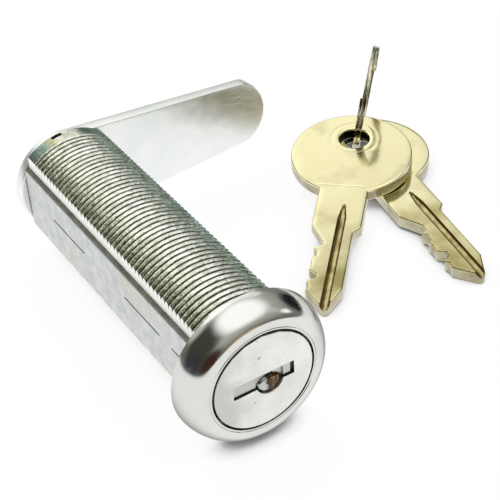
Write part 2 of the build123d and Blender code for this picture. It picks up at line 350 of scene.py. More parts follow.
def round_corner(centre, radius, start, end, count=5):
    """Points of an arc in the profile plane, from start to end degrees."""
    t = np.radians(np.linspace(start, end, count))
    return [(centre[0] + radius * a, centre[1] + radius * b) for a, b in zip(np.cos(t), np.sin(t))]


# ---------------------------------------------------------------- values of the finishes

# Nearly all of a noise lies between these two.
noise_low = 0.3
noise_high = 0.7

cloud_stops = (0.35, 0.65)
speck_scale = 900
speck_step = 0.05
wear_stops = (0.52, 0.60)
wear_gain = 1.25
bump_strength = 0.4

plain = (1.0, 1.0, 1.0)
# Painted reflections: tints by X for the thread, olive on its -X side and teal on its +X side, and bands of
# teal, gold and pale for the collar.
pale_painted_reflection = (1.0, 1.0, 0.92)
olive_painted_reflection = (1.0, 1.0, 0.84)
teal_painted_reflection = (0.84, 1.0, 0.97)
dark_teal_painted_reflection = (0.26, 0.36, 0.33)
light_teal_painted_reflection = (0.38, 0.53, 0.49)
gold_painted_reflection = (0.62, 0.58, 0.36)
side_painted_reflections = ((0.0, olive_painted_reflection), (0.32, plain), (0.54, plain), (0.72, teal_painted_reflection))
collar_painted_reflections = ((0.0, dark_teal_painted_reflection), (0.16, light_teal_painted_reflection), (0.24, gold_painted_reflection), (0.32, pale_painted_reflection),
                (0.50, pale_painted_reflection), (0.58, dark_teal_painted_reflection), (0.80, light_teal_painted_reflection))
# Painted shade in the thread's roots: its colour, the share of the height where it ends, its border, and how
# far a noise moves it.
painted_root_shade_colour = (0.30, 0.33, 0.26)
painted_root_shade_top = 0.56
painted_root_shade_border = 0.15
painted_root_shade_swing = 0.50
collar_border = 0.3
warm_stain = (0.70, 0.68, 0.57)

# The cam's darker band lies above a slanting line: the slant, and distances in millimetres along it.
dark_band_slant = (0.574, 0.0, 0.819)
dark_band_from = 14.0
dark_band_border = 6.0
dark_band_swing = 1.5
dark_band_fade = (28, 36)
dark_band_front = (0.3, 0.1)
dark_band_colour = (0.53, 0.54, 0.49)
# Painted shade: the colours that darken the face's -X side and the bezel's +X side.
face_painted_shade = (0.64, 0.63, 0.61)
bezel_painted_shade = (0.50, 0.49, 0.46)
# Painted reflection on the dome: colours by X from its pale side to its dark brown side with a copper streak.
dome_painted_reflection = ((0.0, (0.50, 0.52, 0.50)), (0.30, (0.62, 0.65, 0.64)), (0.40, (0.045, 0.032, 0.02)),
             (0.56, (0.10, 0.06, 0.03)), (0.61, (0.32, 0.17, 0.08)), (0.66, (0.05, 0.03, 0.02)),
             (1.0, (0.20, 0.16, 0.09)))
bow_end_y = 30
blade_end_y = 10
blade_wear = 0.42
bare_olive = (0.40, 0.34, 0.13)

# ---------------------------------------------------------------- materials


def node_adder(tree):
    """Function that adds a node to a tree: its kind, its inputs by name or number, its settings."""

    def add(kind, values=(), **settings):
        node = tree.nodes.new(kind)
        for key, value in settings.items():
            setattr(node, key, value)
        for socket, value in dict(values).items():
            if isinstance(value, bpy.types.NodeSocket):
                tree.links.new(value, node.inputs[socket])
            else:
                node.inputs[socket].default_value = value
        return node

    return add


def node_tree(name):
    """New material with its shader node and a function that adds nodes."""
    material = bpy.data.materials.new(name)
    material.use_nodes = True
    tree = material.node_tree
    return material, tree, tree.nodes["Principled BSDF"], node_adder(tree)


def noise(add, place, scale, detail, stretch=(1, 1, 1)):
    """Noise at a scale per metre, stretched along the axes, from 0 to 1."""
    mapping = add("ShaderNodeMapping", {"Vector": place, "Scale": stretch})
    node = add("ShaderNodeTexNoise", {"Vector": mapping.outputs[0], "Scale": scale, "Detail": detail})
    return node.outputs["Fac"]


def ramp(add, value, *stops):
    """Colour or grey ramp through (position, colour) stops."""
    node = add("ShaderNodeValToRGB", {"Fac": value})
    elements = node.color_ramp.elements
    while len(elements) < len(stops):
        elements.new(0.5)
    for element, (position, colour) in zip(elements, stops):
        element.position = position
        element.color = (*colour, 1) if isinstance(colour, tuple) else (colour, colour, colour, 1)
    return node.outputs["Color"]


def mixed(add, share, first, second, blend_type="MIX"):
    """Colour mixed from two by a share; a colour is a socket or three numbers."""
    pair = [colour if isinstance(colour, bpy.types.NodeSocket) else (*colour, 1)
            for colour in (first, second)]
    node = add("ShaderNodeMix", {0: share, 6: pair[0], 7: pair[1]}, data_type="RGBA", blend_type=blend_type)
    return node.outputs[2]


def combined(add, first, second, operation="MULTIPLY"):
    """Two values multiplied, or put together by another operation."""
    return add("ShaderNodeMath", {0: first, 1: second}, operation=operation).outputs[0]


def coordinate(add, place, axis):
    """One coordinate of a place, named by its axis."""
    return add("ShaderNodeSeparateXYZ", {0: place}).outputs[axis]


def faded(add, distance, start, end, low=0.0, high=1.0):
    """Value that goes from low to high as a distance goes from start to end millimetres."""
    return add("ShaderNodeMapRange", {0: distance, 1: start * MM, 2: end * MM, 3: low, 4: high}).outputs[0]


def spread(add, value, low, high):
    """Noise spread out over low to high."""
    node = add("ShaderNodeMapRange", {0: value, 1: noise_low, 2: noise_high, 3: low, 4: high})
    return node.outputs[0]


def uneven_fade(add, place, distance, scale, detail, swing, start, end):
    """faded, with a border that a noise moves to and fro by up to swing millimetres."""
    mottle = spread(add, noise(add, place, scale, detail), -swing * MM, swing * MM)
    return faded(add, combined(add, distance, mottle, "ADD"), start, end)


def metal(name, light, dark, rough, cloud_scale=120, grain=(1, 1, 1), grain_scale=2500, grain_height=0.02,
          speck=None, speck_amount=0.66, wear=0.0, finish=None, edge_tint=None, metallic=1.0):
    """Metal with clouded colour, a fine directional grain in its roughness and bump, and dark specks.

    The colour runs from dark to light with a coarse noise; the roughness follows the grain noise;
    wear lightens the pointed edges; finish(add, place, colour) is the piece's own last change to its
    colour, on some pieces painted reflection and painted shade, and edge_tint the colour that the metal
    takes on at grazing angles.
    """
    material, tree, shader, add = node_tree(name)
    place = add("ShaderNodeTexCoord").outputs["Object"]
    clouds = noise(add, place, cloud_scale, 4.0)
    grains = noise(add, place, grain_scale, 2.0, grain)
    colour = ramp(add, clouds, (cloud_stops[0], dark), (cloud_stops[1], light))
    if speck is not None:
        specks = noise(add, place, speck_scale, 2.0)
        mask = ramp(add, specks, (speck_amount, 0.0), (speck_amount + speck_step, 1.0))
        colour = mixed(add, mask, colour, speck)
    if wear:
        edges = add("ShaderNodeNewGeometry").outputs["Pointiness"]
        edge_mask = ramp(add, edges, (wear_stops[0], 0.0), (wear_stops[1], wear))
        bright = tuple(min(1, c * wear_gain) for c in light)
        colour = mixed(add, edge_mask, colour, bright)
    if finish:
        colour = finish(add, place, colour)
    if edge_tint:
        shader.inputs["Specular Tint"].default_value = (*edge_tint, 1)
    tree.links.new(colour, shader.inputs["Base Color"])
    tree.links.new(spread(add, grains, *rough), shader.inputs["Roughness"])
    bump = add("ShaderNodeBump", {"Height": grains, "Strength": bump_strength, "Distance": grain_height * MM})
    tree.links.new(bump.outputs[0], shader.inputs["Normal"])
    shader.inputs["Metallic"].default_value = metallic
    return material


def thread_painted_light(add, place, colour):
    """Painted reflection that runs from olive on the -X side to teal on +X, with painted green-black
    shade in the roots.

    The painted shade's share falls from 1 at the root's radius to 0 above the middle of the flank, moved
    up and down by a noise. The collar has painted reflections of its own, in bands by X, and no painted
    shade.
    """
    across = add("ShaderNodeSeparateXYZ", {0: place}).outputs
    side = faded(add, across["X"], -flat_half, thread_radius)
    tint = ramp(add, side, *side_painted_reflections)
    collar_tint = ramp(add, side, *collar_painted_reflections)
    thread_end = barrel_length - collar_length
    on_collar = faded(add, across["Y"], thread_end, thread_end + collar_border)
    collar_colour = mixed(add, 1.0, colour, collar_tint, "MULTIPLY")
    colour = mixed(add, 1.0, colour, tint, "MULTIPLY")
    # Painted shade in the roots: its share falls as the radius rises from the root towards the crest.
    spoke = add("ShaderNodeCombineXYZ", {"X": across["X"], "Z": across["Z"]})
    radius = add("ShaderNodeVectorMath", {0: spoke.outputs[0]}, operation="LENGTH").outputs["Value"]
    height = faded(add, radius, thread_radius - thread_depth, thread_radius)
    level = combined(add, noise(add, place, 900, 3.0), painted_root_shade_swing)
    raised = combined(add, height, level, "SUBTRACT")
    painted_root_shade = ramp(add, raised, (0.0, 1.0), (painted_root_shade_top - painted_root_shade_border, 1.0), (painted_root_shade_top, 0.0))
    return mixed(add, on_collar, mixed(add, painted_root_shade, colour, painted_root_shade_colour), collar_colour)


def pad_finish(add, place, colour):
    """Casting skin with a faint warm stain in broad patches."""
    stain = ramp(add, noise(add, place, 70, 2.0), (0.48, 0.0), (0.66, 0.75))
    return mixed(add, stain, colour, warm_stain)


def cam_finish(add, place, colour):
    """Darker mottled band on the front of the arm, from a slanting line up, that fades at the tip."""
    across = add("ShaderNodeVectorMath", {0: place, 1: dark_band_slant}, operation="DOT_PRODUCT").outputs["Value"]
    above = uneven_fade(add, place, across, 260, 5.0, dark_band_swing, dark_band_from, dark_band_from + dark_band_border)
    off_tip = faded(add, coordinate(add, place, "X"), *dark_band_fade, 1.0, 0.1)
    behind, before = dark_band_front
    on_front = faded(add, coordinate(add, place, "Y"), cam_start + behind, cam_start + before)
    share = combined(add, combined(add, above, off_tip), on_front)
    return mixed(add, share, colour, dark_band_colour)


def bezel_side_shade(add, place, colour):
    """Painted shade that darkens the +X side of the dome, with an uneven border."""
    share = uneven_fade(add, place, coordinate(add, place, "X"), 200, 4.0, 1.2, 8.2, 11.5)
    return mixed(add, share, colour, bezel_painted_shade)


def face_side_shade(add, place, colour):
    """Painted shade that darkens the -X side of the face, with an uneven border."""
    share = uneven_fade(add, place, coordinate(add, place, "X"), 300, 4.0, 2.0, -2.0, -6.5)
    return mixed(add, share, colour, face_painted_shade)


def dome_reflection_paint(add, place, colour):
    """Painted reflection across the dome by X: pale on one side, then dark brown with a copper streak."""
    share = uneven_fade(add, place, coordinate(add, place, "X"), 1100, 3.0, 0.3, lobe_x - dome_half[0],
                        lobe_x + dome_half[0])
    return mixed(add, 0.9, colour, ramp(add, share, *dome_painted_reflection))


def key_finish(add, place, colour):
    """Handling wear: the plating thins to olive in patches, more of them towards the blade's tip."""
    to_tip = faded(add, coordinate(add, place, "Y"), bow_end_y, blade_end_y, 0.0, blade_wear)
    patches = combined(add, noise(add, place, 130, 4.0), to_tip, "ADD")
    return mixed(add, ramp(add, patches, (0.57, 0.0), (0.92, 0.90)), colour, bare_olive)


thread_zinc = metal("thread_zinc", (0.98, 0.98, 0.93), (0.64, 0.66, 0.57), (0.18, 0.40), 700,
                    grain=(0.4, 1, 0.4), grain_scale=3400, grain_height=0.30, wear=0.5,
                    finish=thread_painted_light, edge_tint=(0.60, 0.66, 0.63))
pad_zinc = metal("pad_zinc", (0.745, 0.765, 0.76), (0.61, 0.63, 0.63), (0.34, 0.50), 600,
                 grain=(1, 0.5, 1), grain_height=0.03, finish=pad_finish)
ledge_shade = metal("ledge_shade", (0.20, 0.21, 0.17), (0.12, 0.13, 0.10), (0.45, 0.60), 500)
cut_flat = metal("cut_flat", (1.0, 1.0, 0.97), (0.92, 0.92, 0.89), (0.55, 0.70), 900, metallic=0.0)
# Near-black painted shade for the collar's notch, the bezel's hole wall and the keys' hole walls.
black_painted_shade = metal("black_painted_shade", (0.012, 0.012, 0.010), (0.006, 0.006, 0.005), (0.5, 0.7), 500)
bezel_chrome = metal("bezel_chrome", (0.82, 0.82, 0.80), (0.75, 0.75, 0.73), (0.12, 0.18), 60,
                     grain_scale=1500, grain_height=0.007, edge_tint=(0.42, 0.42, 0.40),
                     finish=bezel_side_shade)
face_satin = metal("face_satin", (0.90, 0.89, 0.86), (0.77, 0.77, 0.75), (0.30, 0.42), 240,
                   grain_height=0.008, speck=(0.45, 0.45, 0.42), speck_amount=0.68, finish=face_side_shade)
shutter_satin = metal("shutter_satin", (0.64, 0.64, 0.61), (0.54, 0.54, 0.51), (0.30, 0.44), 300)
# The dome's dark brown colour is painted reflection too, and its finish lays more painted reflection over it.
dome_polished = metal("dome_polished", (0.36, 0.29, 0.17), (0.05, 0.035, 0.02), (0.06, 0.12), 700,
                      grain_height=0.004, finish=dome_reflection_paint)
cam_zinc = metal("cam_zinc", (1.0, 1.0, 1.0), (0.92, 0.96, 0.95), (0.30, 0.42), 160,
                 grain=(0.2, 1, 1), grain_height=0.003, wear=0.5, finish=cam_finish)
washer_zinc = metal("washer_zinc", (0.78, 0.79, 0.76), (0.62, 0.64, 0.60), (0.24, 0.40), 300, wear=0.4)
key_metal = metal("key_metal", (0.98, 0.91, 0.58), (0.92, 0.85, 0.52), (0.09, 0.16), 110,
                  grain_height=0.006, wear=0.5, finish=key_finish)
# The keys' side walls are darker than their faces: painted shade.
key_side = metal("key_side", (0.60, 0.57, 0.44), (0.34, 0.30, 0.18), (0.12, 0.24), 300, wear=0.6)
# Painted shade in the milled groove: its floor darker than the face, and its walls darker still.
groove_metal = metal("groove_metal", (0.62, 0.54, 0.27), (0.30, 0.24, 0.09), (0.18, 0.34), 500,
                     grain_height=0.03)
groove_wall = metal("groove_wall", (0.26, 0.20, 0.07), (0.13, 0.09, 0.03), (0.30, 0.50), 500)
# Near-black painted shade for the face cap's slot walls and the dark ring at its rim.
face_edge_painted_shade = metal("face_edge_painted_shade", (0.10, 0.10, 0.09), (0.05, 0.05, 0.05), (0.40, 0.60), 900)
ring_steel = metal("ring_steel", (0.74, 0.72, 0.58), (0.20, 0.18, 0.10), (0.10, 0.20), 650, wear=0.5)
spring_steel = metal("spring_steel", (0.72, 0.72, 0.70), (0.60, 0.60, 0.58), (0.15, 0.28), 600)
brass = metal("wafer_brass", (0.80, 0.66, 0.36), (0.68, 0.54, 0.28), (0.20, 0.36), 400, wear=0.3)
plug_zinc = metal("plug_zinc", (0.56, 0.56, 0.52), (0.40, 0.40, 0.37), (0.35, 0.55), 400)

# ---------------------------------------------------------------- threaded barrel


def thread_profile(phase):
    """Depth share of the thread over one pitch: a rounded crest, as a parabola, and a V groove."""
    phase = phase % 1
    crest = crest_sag * (2 * phase / crest_share - 1) ** 2
    to_root = np.abs(phase - (1 + crest_share) / 2) / ((1 - crest_share) / 2)
    return np.where(phase <= crest_share, crest, 1 + (crest_sag - 1) * to_root)


def flank(radius, inside):
    """x and z of the pad and flat on the +X, +Z side; inside is 1 where a row lies in a slit."""
    rows, on_pad = len(radius), len(pad_heights)
    on_flat = radius[:, on_pad:]
    bevel = np.where(np.arange(on_pad) == on_pad - 1, pad_bevel, 0)
    top = on_flat * np.sin(np.arccos(flat_half / on_flat))
    x = np.hstack([pad_half - bevel - slit_depth * np.array(pad_in_slit) * inside[:, :on_pad],
                   np.full(on_flat.shape, flat_half)])
    z = np.hstack([np.tile(pad_heights, (rows, 1)),
                   pad_half_height + np.array(flat_shares) * (top - pad_half_height)])
    return x, z


def half_section(radius, inside, full):
    """x and z of the +Z half of the section, from +X to -X, where every column has its own radius.

    The section is a circle cut by the flats at flat_half, with a raised pad on each flat; full
    shares out the round part between the two corners.
    """
    k = side_columns
    near_x, near_z = flank(radius[:, :k], inside[:, :k])
    far_x, far_z = flank(radius[:, ::-1][:, :k], inside[:, ::-1][:, :k])
    round_part = radius[:, k:-k]
    corner = np.arccos(flat_half / round_part)
    turn = corner + full * (pi - 2 * corner)
    return (np.hstack([near_x, round_part * np.cos(turn), -far_x[:, ::-1]]),
            np.hstack([near_z, round_part * np.sin(turn), far_z[:, ::-1]]))


def bore_races(turn):
    """Angles of the bore's columns, and its radius at each where the wafers' races are cut.

    The races are four slots of half width race_half, one to each quarter, so that the radius is the
    lesser of reach / cos(a) and race_half / sin(a) for an angle a from the quarter's direction. The
    nearest column is moved to each race's corners.
    """
    bore = core_radius + bore_clearance
    reach = np.array(race_reach)
    quarter = np.arange(4)[:, None] * pi / 2
    corners = np.stack([np.arctan(race_half / reach), np.full(4, np.arcsin(race_half / bore))], axis=-1)
    marks = (np.hstack([quarter + corners, quarter - corners]) % (2 * pi)).ravel()
    turn = turn.copy()
    turn[np.abs(turn[:, None] - marks).argmin(axis=0)] = marks
    nearest = np.round(turn / (pi / 2)).astype(int)
    away = np.abs(turn - nearest * pi / 2)
    in_race = np.minimum(reach[nearest % 4] / np.cos(away), race_half / np.maximum(np.sin(away), tiny))
    return turn, np.maximum(bore, in_race)


def barrel():
    """Barrel with its helical thread as one closed skin.

    The rows follow the thread's helix, so that each crest and root is a line of the grid, and the
    radius is the thread radius less the depth times thread_profile of the phase y / pitch - turn.
    The rows go on around the collar, into the washer recess, through the bore and over the head.
    """
    notch_half = degrees(atan(notch_width / 2 / collar_radius))
    corner = degrees(acos(flat_half / collar_radius))
    notch_shares = [(notch_angle + s - corner) / (180 - 2 * corner)
                    for s in (-notch_half - notch_edge, -notch_half, notch_half, notch_half + notch_edge)]
    full = np.sort(np.concatenate([np.linspace(0, 1, round_columns), notch_shares]))
    top_in_notch = (full > notch_shares[0] + tiny) & (full < notch_shares[3] - tiny)

    half = len(full) + 2 * side_columns
    nominal = np.full((1, half), thread_radius)
    x, z = half_section(nominal, 0 * nominal, full)
    top_turn = np.arctan2(z[0], x[0])
    turn = np.concatenate([top_turn, 2 * pi - top_turn[::-1]])
    notched = np.zeros(2 * half, bool)
    notched[side_columns:side_columns + len(full)] = top_in_notch

    thread_end = barrel_length - collar_length
    phases = np.concatenate([np.linspace(0, crest_share, crest_rows), [(1 + crest_share) / 2]])
    turns = np.arange(-1, int(thread_end / thread_pitch) + 1)
    base = (turns[:, None] + phases[None, :]).ravel() * thread_pitch
    y = np.clip(base[:, None] + thread_pitch * turn[None, :] / (2 * pi), 0, thread_end)
    radius = thread_radius - thread_depth * thread_profile(y / thread_pitch - turn[None, :] / (2 * pi))

    def outline(row_radius, row_y):
        """x and z of every column, upper half and then lower half, where each has its own radius."""
        inside = sum(np.clip((row_y - a) / slit_run, 0, 1) * np.clip((b - row_y) / slit_run, 0, 1)
                     for a, b in slit_spans)
        upper_x, upper_z = half_section(row_radius[:, :half], inside[:, :half], full)
        lower_x, lower_z = half_section(row_radius[:, half:][:, ::-1], 0 * inside[:, half:], full)
        return np.hstack([upper_x, lower_x[:, ::-1]]), np.hstack([upper_z, -lower_z[:, ::-1]])

    x, z = outline(radius, y)
    rows = [stacked(x, y, z)]
    notch_front = barrel_length - notch_depth
    for row_radius, row_y, sink in ((collar_radius, thread_end, 0), (collar_radius, notch_front, 0),
                                    (collar_radius, notch_front + notch_step, notch_sink),
                                    (collar_radius, barrel_length - collar_bevel, notch_sink),
                                    (collar_radius - collar_bevel, barrel_length, notch_sink - collar_bevel)):
        x, z = outline(np.full((1, 2 * half), row_radius), np.full((1, 2 * half), row_y))
        shrink = 1 - np.where(notched, sink / row_radius, 0)
        rows.append(stacked(x * shrink, row_y, z * shrink))

    head_y, head_radius = bezel_curve(bezel_skin + head_play, 8)
    bore_turn, race = bore_races(turn)
    bore, washer_bore = core_radius + bore_clearance, washer_radius + washer_play
    cap_bore = face_radius + face_gap / 2
    washer_seat = barrel_length - washer_recess
    cap_seat = head_depth - bezel_height + bore_clearance
    inner = [(washer_bore, barrel_length), (washer_bore, washer_seat), (bore, washer_seat),
             (bore, race_span[1]), (race, race_span[1]), (race, race_span[0]), (bore, race_span[0]),
             (bore, cap_seat), (cap_bore, cap_seat), (cap_bore, bezel_skin - bezel_height + head_play)]
    inner += list(zip(head_radius[::-1], head_y[::-1])) + [(head_radius[0], 0)]
    rows += [stacked(r * np.cos(bore_turn), row_y, r * np.sin(bore_turn))[None] for r, row_y in inner]
    points = np.concatenate(rows)
    count, columns = points.shape[:2]
    faces = grid_faces(count, columns, close=True)
    row, column = faces[:, 0] // columns, faces[:, 0] % columns
    mirrored = np.where(column < half, column, 2 * half - 1 - column)
    from_edge = np.minimum(mirrored, half - 2 - mirrored)
    thread_rows, on_pad = len(base), len(pad_heights)
    on_thread, on_casting, in_shade, in_notch, on_flat = range(5)
    finish = np.where(from_edge < side_columns - 1, on_casting, on_thread)
    finish[from_edge == on_pad - 1] = in_shade
    finish[(from_edge >= on_pad) & (from_edge < side_columns)] = on_flat
    middle = points[..., 1].ravel()[faces].mean(axis=1)
    cut = sum((middle > a) & (middle < b) for a, b in slit_spans) > 0
    finish[cut & (from_edge > 0) & (from_edge < 4) & (column < half) & (row < thread_rows)] = in_shade
    # The notch takes the near-black painted shade.
    finish[(row > thread_rows) & (row < thread_rows + 4) & notched[column]] = in_notch
    finish[row > thread_rows + 4] = on_casting
    return make_piece("threaded_barrel", points, faces,
                      [thread_zinc, pad_zinc, ledge_shade, black_painted_shade, cut_flat], finish, sharp=26)


# ---------------------------------------------------------------- bezel and face


def bezel_curve(inset, count):
    """y and radius of the bezel's dome moved inward: powers of the cosine and sine of the angle."""
    t = np.linspace(0, pi / 2, count + 1)
    c, s = np.clip(np.cos(t), 0, 1), np.sin(t)
    radius = bezel_land_radius + (bezel_radius - bezel_land_radius) * c ** bezel_bulge - inset * c
    y = -bezel_rim - (bezel_height - bezel_rim) * s ** bezel_bulge + inset * s
    return y, radius


def bezel():
    """Domed ring turned from a closed profile, with a rolled inner lip and a fine groove beside it."""
    hole = face_radius + face_gap
    y, radius = bezel_curve(0, 40)
    front = -bezel_height
    profile = [(bezel_radius - bezel_foot, 0), (bezel_radius, -bezel_foot)] + list(zip(radius, y))
    profile += [(r, front + fall) for r, fall in bezel_groove]
    profile += round_corner((hole + bezel_lip, front + bezel_lip), bezel_lip, 270, 180)
    inner_y, inner_radius = bezel_curve(bezel_skin, 10)
    profile.append((hole, front + bezel_skin))
    profile += list(zip(inner_radius[::-1], inner_y[::-1])) + [(inner_radius[0], 0)]
    points = turned_points(profile, bezel_columns)
    faces = grid_faces(len(profile), bezel_columns, close=True)
    along = np.array(profile)[faces[:, 0] // bezel_columns]
    # The hole's wall takes the near-black painted shade.
    in_hole = (along[:, 0] <= hole + bezel_shade[0]) & (along[:, 1] > front + bezel_shade[1])
    return make_piece("bezel_ring_dressed", points, faces, [bezel_chrome, black_painted_shade], in_hole.astype(int))


def slot_outline():
    """Outline of the keyway slot with its lobe, counter-clockwise from the right end's middle."""
    w, h = slot_half_width, slot_half_height
    centre_z = lobe_radius - lobe_drop
    meet = sqrt(lobe_radius ** 2 - (h + centre_z) ** 2)
    points = [(w, z) for z in np.linspace(0, h, 5)[:-1]]
    points += [(x, h) for x in np.linspace(w, -w, 25)[:-1]]
    points += [(-w, z) for z in np.linspace(h, -h, 9)[:-1]]
    points += [(x, -h) for x in np.linspace(-w, lobe_x - meet, 9)[:-1]]
    start, end = np.arctan2(-h - centre_z, -meet), np.arctan2(-h - centre_z, meet)
    t = np.linspace(start, end, 25)[:-1]
    points += list(zip(lobe_x + lobe_radius * np.cos(t), centre_z + lobe_radius * np.sin(t)))
    points += [(x, -h) for x in np.linspace(lobe_x + meet, w, 6)[:-1]]
    points += [(w, z) for z in np.linspace(-h, 0, 5)]
    return np.array(points)


def grow(outline, amount):
    """Outline moved outward from the centre by an amount along each ray."""
    reach = np.hypot(outline[:, 0], outline[:, 1])[:, None]
    return outline * (1 + amount / reach)


def face_cap():
    """Disc with a skirt, whose flat runs from the slot's outline out to a bevelled rim.

    Each column is a ray from the centre; the rows are the slot wall, its rounded lip, the flat,
    the bevel and the skirt, so that the cap closes on itself.
    """
    slot = slot_outline()
    turn = np.arctan2(slot[:, 1], slot[:, 0])
    turn[-1] = 2 * pi
    turn[0] = 0
    rim = np.stack([np.cos(turn), np.sin(turn)], axis=-1)
    front = -bezel_height
    rows = []

    def row(flat, y):
        rows.append(stacked(flat[:, 0], y, flat[:, 1]))

    row(slot, front + cap_skin)
    for out, fall in slot_lip:
        row(grow(slot, out), front + fall)
    near = grow(slot, slot_lip[-1][0])
    for share in cap_flat_shares:
        row(near * (1 - share) + rim * (face_radius - cap_flat_inset) * share, front)
    for inset, fall in cap_bevel:
        row(rim * (face_radius - inset), front + fall)
    row(rim * face_radius, front + cap_skirt)
    row(rim * (face_radius - cap_skirt_skin), front + cap_skirt)
    row(rim * (face_radius - cap_skirt_skin), front + cap_skin)
    points = np.array(rows)
    faces = grid_faces(len(rows), len(slot), close=True)
    row_of = np.arange(len(faces)) // (len(slot) - 1)
    corner = slot[np.arange(len(faces)) % (len(slot) - 1)]
    below, left = bright_wall
    beside_dome = (corner[:, 1] < -slot_half_height - below) & (corner[:, 0] > lobe_x - left)
    # Painted shade: the slot's walls, but beside the dome, and the bevel and skirt at the rim take the
    # near-black colour.
    shaded = (row_of < 2) & ~beside_dome | (row_of > 6)
    return make_piece("face_cap_dressed", points, faces, [face_satin, face_edge_painted_shade], shaded.astype(int),
                      sharp=24)


def shutter_skins():
    """Front and back of the flap: a flat plate with a pressed dome, an elliptical cap on the front,
    and a raised plate in the slot on each side of the dome.

    The plate's lower edge bulges round the dome, and its upper edge is cut back between the knuckles.
    """
    tab_half = dome_half[0] + dome_margin
    plate_ends = np.array([-slot_half_width + left_gap, lobe_x - lobe_radius, lobe_x + lobe_radius,
                           slot_half_width - right_gap])
    x = np.unique(np.round(np.concatenate([
        np.linspace(-shutter_half, -torsion_gap, 8),
        np.linspace(-torsion_gap + 0.01, lobe_x - tab_half, 5)[:-1],
        lobe_x + tab_half * np.linspace(-1, 1, 41), np.linspace(lobe_x + tab_half, shutter_half, 8)[1:],
        plate_ends, plate_ends + plate_wall * np.array([1, -1, 1, -1])]), 4))
    in_gap = np.abs(x) < torsion_gap
    across_tab = np.clip(1 - ((x - lobe_x) / tab_half) ** 2, 0, None)
    bottom = np.minimum(shutter_bottom, dome_z - (dome_half[1] + tab_drop) * np.sqrt(across_tab))
    top = np.where(in_gap, hinge_z - knuckle_room, hinge_z - pin_play)
    share = np.linspace(0, 1, 73)[:, None]
    z = bottom + (top - bottom) * share
    x = x + 0 * z
    reach = ((x - lobe_x) / dome_half[0]) ** 2 + ((z - dome_z) / dome_half[1]) ** 2
    lift = dome_height * np.sqrt(np.clip(1 - reach, 0, 1) * (1 + dome_fullness * reach))
    in_span = np.maximum(np.minimum(x - plate_ends[0], plate_ends[1] - x),
                         np.minimum(x - plate_ends[2], plate_ends[3] - x))
    in_height = np.minimum(z + slot_half_height - plate_gap, slot_half_height - plate_top_gap - z)
    lift = np.maximum(lift, plate_lift * np.clip(np.minimum(in_span, in_height) / plate_wall, 0, 1))
    return stacked(x, shutter_front - lift, z), stacked(x, shutter_front + shutter_skin, z), reach


def shutter_flap():
    """The flap's front and back skins, joined round their edge."""
    front, back, reach = shutter_skins()
    rows, columns = front.shape[:2]
    size = rows * columns
    faces_front = grid_faces(rows, columns)
    faces_back = faces_front[:, ::-1] + size
    rim = np.concatenate([np.arange(columns), np.arange(1, rows) * columns + columns - 1,
                          (rows - 1) * columns + np.arange(columns - 2, -1, -1),
                          np.arange(rows - 2, -1, -1) * columns])
    edge = np.stack([rim[:-1], rim[1:], rim[1:] + size, rim[:-1] + size], axis=-1)
    faces = np.concatenate([faces_front, faces_back, edge])
    on_dome = np.zeros(len(faces), int)
    on_dome[:len(faces_front)] = reach.ravel()[faces_front[:, 0]] < 1
    points = np.concatenate([front.reshape(-1, 3), back.reshape(-1, 3)])
    return make_piece("shutter_flap", points, faces, [shutter_satin, dome_polished], on_dome, sharp=40)


def knuckle(name, x0, x1):
    """Tube round the hinge pin: a rectangle in radius and x, turned about the pin's axis."""
    inner, outer, edge = pin_radius + pin_play, pin_radius + knuckle_skin, knuckle_edge
    section = np.array([(inner, x0), (outer - edge, x0), (outer, x0 + edge), (outer, x1 - edge),
                        (outer - edge, x1), (inner, x1)])
    turn = np.linspace(0, 2 * pi, 49)
    radius, x = section[:, 0][:, None], section[:, 1][:, None]
    points = stacked(x, hinge_y + radius * np.cos(turn), hinge_z + radius * np.sin(turn))
    return make_piece(name, points, grid_faces(len(section), len(turn), close=True), [shutter_satin])


# ---------------------------------------------------------------- cam and its fastening


def cam_outline():
    """Outline of the cam: hub circle, straight tapering sides and a tip arc with rounded corners."""
    slope = atan((cam_hub_radius - cam_tip_half) / cam_tip_x)
    lean = pi / 2 - slope
    start = np.array([cam_hub_radius * cos(lean), cam_hub_radius * sin(lean)])
    corner_x = cam_tip_x - (cam_end_radius - sqrt(cam_end_radius ** 2 - cam_tip_half ** 2))
    corner = np.array([corner_x, cam_tip_half])
    arc_centre = cam_tip_x - cam_end_radius
    side = (corner - start) / np.linalg.norm(corner - start)
    normal = np.array([side[1], -side[0]])
    fillet = cam_corner_radius
    # The fillet's centre lies one fillet radius inside the side, and as far inside the end arc:
    # from the corner, back along the side by the smaller root of |offset - run * side| = inner.
    inner = cam_end_radius - fillet
    offset = corner + normal * fillet - [arc_centre, 0]
    along = offset @ side
    run = along - sqrt(along ** 2 - offset @ offset + inner ** 2)
    centre = corner - side * run + normal * fillet
    end_turn = np.arctan2(centre[1], centre[0] - arc_centre)
    side_turn = np.arctan2(-normal[1], -normal[0])
    tip = [(arc_centre + cam_end_radius * np.cos(t), cam_end_radius * np.sin(t))
           for t in np.linspace(0, end_turn, 8)]
    rounded = [(centre[0] + fillet * np.cos(t), centre[1] + fillet * np.sin(t))
               for t in np.linspace(end_turn, side_turn, 14)[1:]]
    foot = np.array(rounded[-1])
    straight = [tuple(foot + (start - foot) * s) for s in np.linspace(0, 1, 16)[1:]]
    hub = [(cam_hub_radius * np.cos(t), cam_hub_radius * np.sin(t)) for t in np.linspace(lean, pi, 40)[1:]]
    upper = np.array(tip + rounded + straight + hub)
    lower = upper[-2::-1] * [1, -1]
    return np.concatenate([upper, lower])


def square_on_rays(outline, half):
    """Points of a square of the given half width on the rays of the outline."""
    return outline * (half / np.max(np.abs(outline), axis=1))[:, None]


